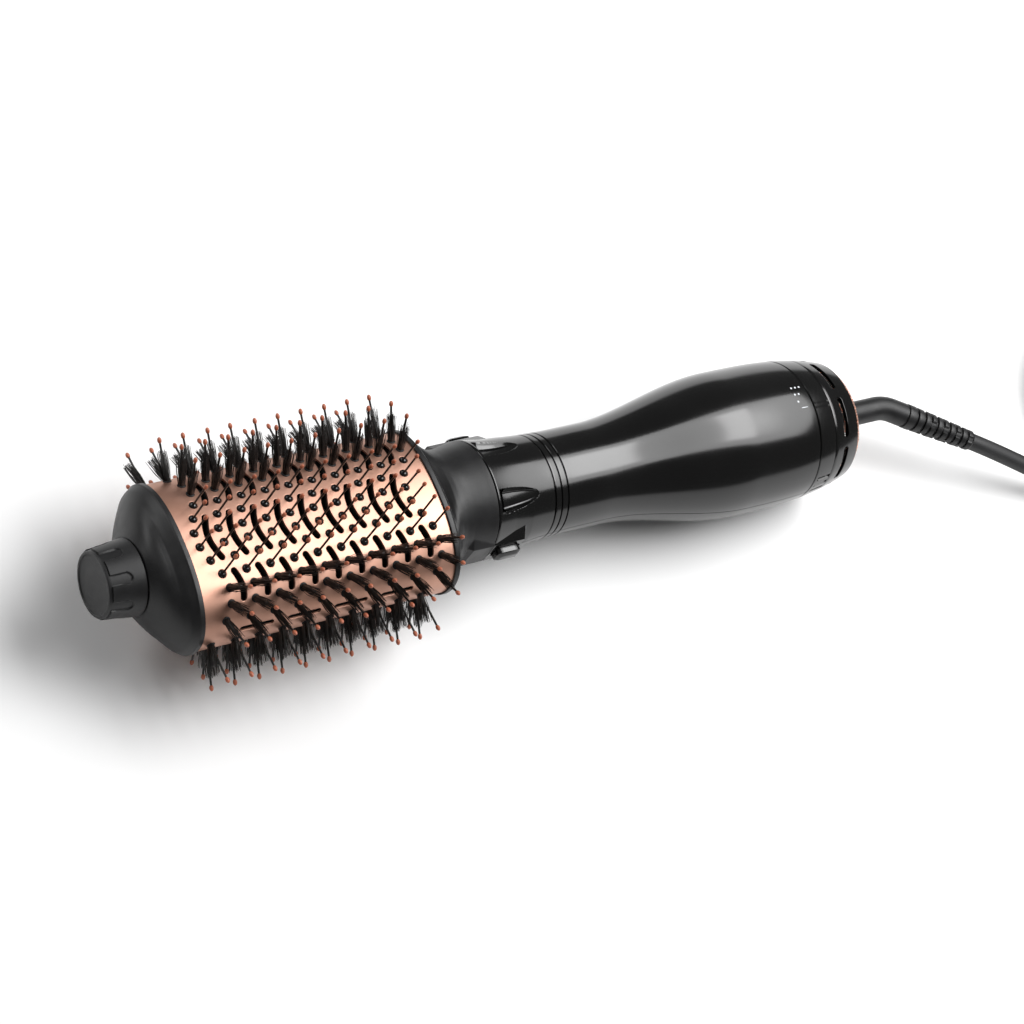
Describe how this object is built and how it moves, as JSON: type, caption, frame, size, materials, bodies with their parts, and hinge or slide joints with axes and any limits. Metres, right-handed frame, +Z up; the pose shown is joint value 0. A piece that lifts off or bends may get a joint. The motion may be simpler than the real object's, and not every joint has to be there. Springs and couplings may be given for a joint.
{
  "type": "hot air brush",
  "caption": "Oval hot air styling brush: perforated rose-gold barrel with ball-tipped pins and bristle tufts, pull-off head, turned handle, switch ring, swivel cord.",
  "frame": {"origin": "centre of the brush's box, on the table it lies on, measured without the cord", "axes": "+X along the brush towards the cord, +Z up out of the wide face of the barrel, +Y across"},
  "size_m": [0.5559, 0.125, 0.07],
  "materials": {
    "matte_black": "moulded ABS, fine matte texture",
    "gloss_black": "polished ABS",
    "rose_barrel": "satin rose-gold coating on aluminium",
    "pin_nylon": "nylon pins with copper-brown ball tips",
    "bristle": "tufted nylon bristle",
    "inner_black": "heat-resistant moulded plastic",
    "steel": "plain steel",
    "mica": "mica sheet",
    "heater_wire": "nichrome wire",
    "circuit": "circuit board",
    "lead": "silicone lead",
    "rose_mesh": "rose-gold woven wire",
    "cord_rubber": "matte PVC cord",
    "plug_metal": "nickel-plated brass"
  },
  "bodies": {
    "handle": {"upper_shell": "gloss_black", "lower_shell": "gloss_black", "coupling_sleeve": "inner_black", "heat_shield": "steel", "mica_boards": "mica", "heater_coil": "heater_wire", "thermostat": "steel", "thermal_fuse": "steel", "motor": "steel", "motor_mount": "inner_black", "circuit_board": "circuit", "rectifier": "inner_black", "mode_switch": "inner_black", "rear_cap": "gloss_black", "filter_mesh": "rose_mesh", "filter_ring": "inner_black", "cord_hub": "matte_black", "button_spring_left": "steel", "button_spring_right": "steel", "shell_screws": "steel", "inner_leads": "lead", "cord_run": "cord_rubber", "cord_coil": "cord_rubber", "cord_tail": "cord_rubber", "cord_tie": "matte_black", "plug_body": "cord_rubber", "plug_pins": "plug_metal"},
    "brush_head": {"tip_knob": "matte_black", "front_cap": "matte_black", "barrel": "rose_barrel", "bristle_sleeve": "inner_black", "air_guide": "inner_black", "face_pins_top": "pin_nylon", "face_pins_bottom": "pin_nylon", "edge_tufts_left": "bristle", "edge_tufts_right": "bristle", "edge_pins_left": "pin_nylon", "edge_pins_right": "pin_nylon", "rear_flange": "matte_black"},
    "fan": {"motor_shaft": "steel", "impeller": "inner_black"},
    "switch_ring": {"switch_ring": "gloss_black"},
    "release_button_left": {"release_button_left": "gloss_black"},
    "release_button_right": {"release_button_right": "gloss_black"},
    "cord_swivel": {"cord_elbow": "matte_black", "strain_relief": "cord_rubber"}
  },
  "joints": [
    {"name": "head_pull", "type": "slide", "parent": "handle", "child": "brush_head", "axis": [-0.9995, 0, 0.0327], "range_m": [0, 0.04]},
    {"name": "left_button_press", "type": "slide", "parent": "handle", "child": "release_button_left", "axis": [0, -1, 0], "range_m": [0, 0.002], "stiffness_N_per_m": 800, "springref_m": -0.001, "deforming": ["button_spring_left"]},
    {"name": "right_button_press", "type": "slide", "parent": "handle", "child": "release_button_right", "axis": [0, 1, 0], "range_m": [0, 0.002], "stiffness_N_per_m": 800, "springref_m": -0.001, "deforming": ["button_spring_right"]},
    {"name": "mode_turn", "type": "hinge", "parent": "handle", "child": "switch_ring", "pos_m": [0.13968, 0, 0.02747], "axis": [-0.9995, 0, 0.0327], "range_deg": [0, 18.6]},
    {"name": "fan_spin", "type": "hinge", "parent": "handle", "child": "fan", "pos_m": [0.11769, 0, 0.02819], "axis": [0.9995, 0, -0.0327], "continuous": true},
    {"name": "cord_swivel", "type": "hinge", "parent": "handle", "child": "cord_swivel", "pos_m": [0.15767, 0, 0.02688], "axis": [-0.9995, 0, 0.0327], "continuous": true}
  ]
}
